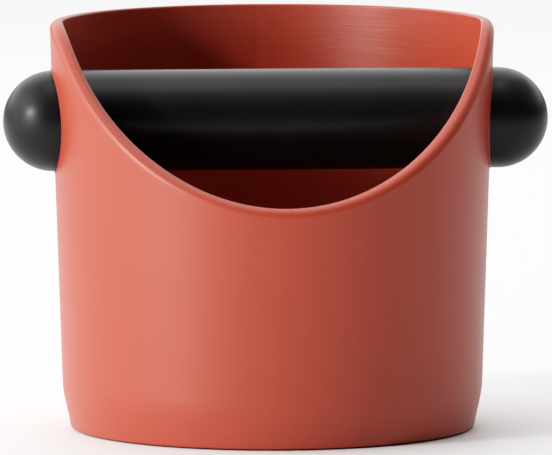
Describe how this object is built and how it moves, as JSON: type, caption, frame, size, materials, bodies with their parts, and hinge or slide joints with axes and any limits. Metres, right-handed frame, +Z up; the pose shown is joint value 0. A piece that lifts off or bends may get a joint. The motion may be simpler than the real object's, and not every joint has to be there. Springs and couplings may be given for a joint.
{
  "type": "espresso knock box",
  "caption": "Round countertop knock box with a scooped front and a rubber-padded knock bar through its side walls.",
  "frame": {"origin": "on the tub's axis, on the plane that the foot ring stands on", "axes": "+Z up, the scooped front faces -Y, and the knock bar lies along X"},
  "size_m": [0.1605, 0.1288, 0.12],
  "materials": {
    "tub_plastic": "coral-red moulded ABS, satin, fine texture",
    "foot_rubber": "matt black non-slip rubber",
    "core_steel": "drawn stainless tube",
    "bar_rubber": "smooth satin black moulded rubber",
    "plug_nylon": "natural nylon, as moulded"
  },
  "bodies": {
    "tub": {"tub": "tub_plastic", "foot_ring": "foot_rubber"},
    "bar": {"core_tube": "core_steel", "left_cap_plug": "plug_nylon", "right_cap_plug": "plug_nylon", "left_end_cap": "bar_rubber", "right_end_cap": "bar_rubber"},
    "sleeve": {"knock_sleeve": "bar_rubber"}
  },
  "joints": [
    {"name": "bar_slide", "type": "slide", "parent": "tub", "child": "bar", "axis": [1, 0, 0], "range_m": [-0.15, 0.15]},
    {"name": "sleeve_spin", "type": "hinge", "parent": "bar", "child": "sleeve", "pos_m": [0.00115, 0, 0.0908], "axis": [1, 0, 0], "continuous": true}
  ]
}
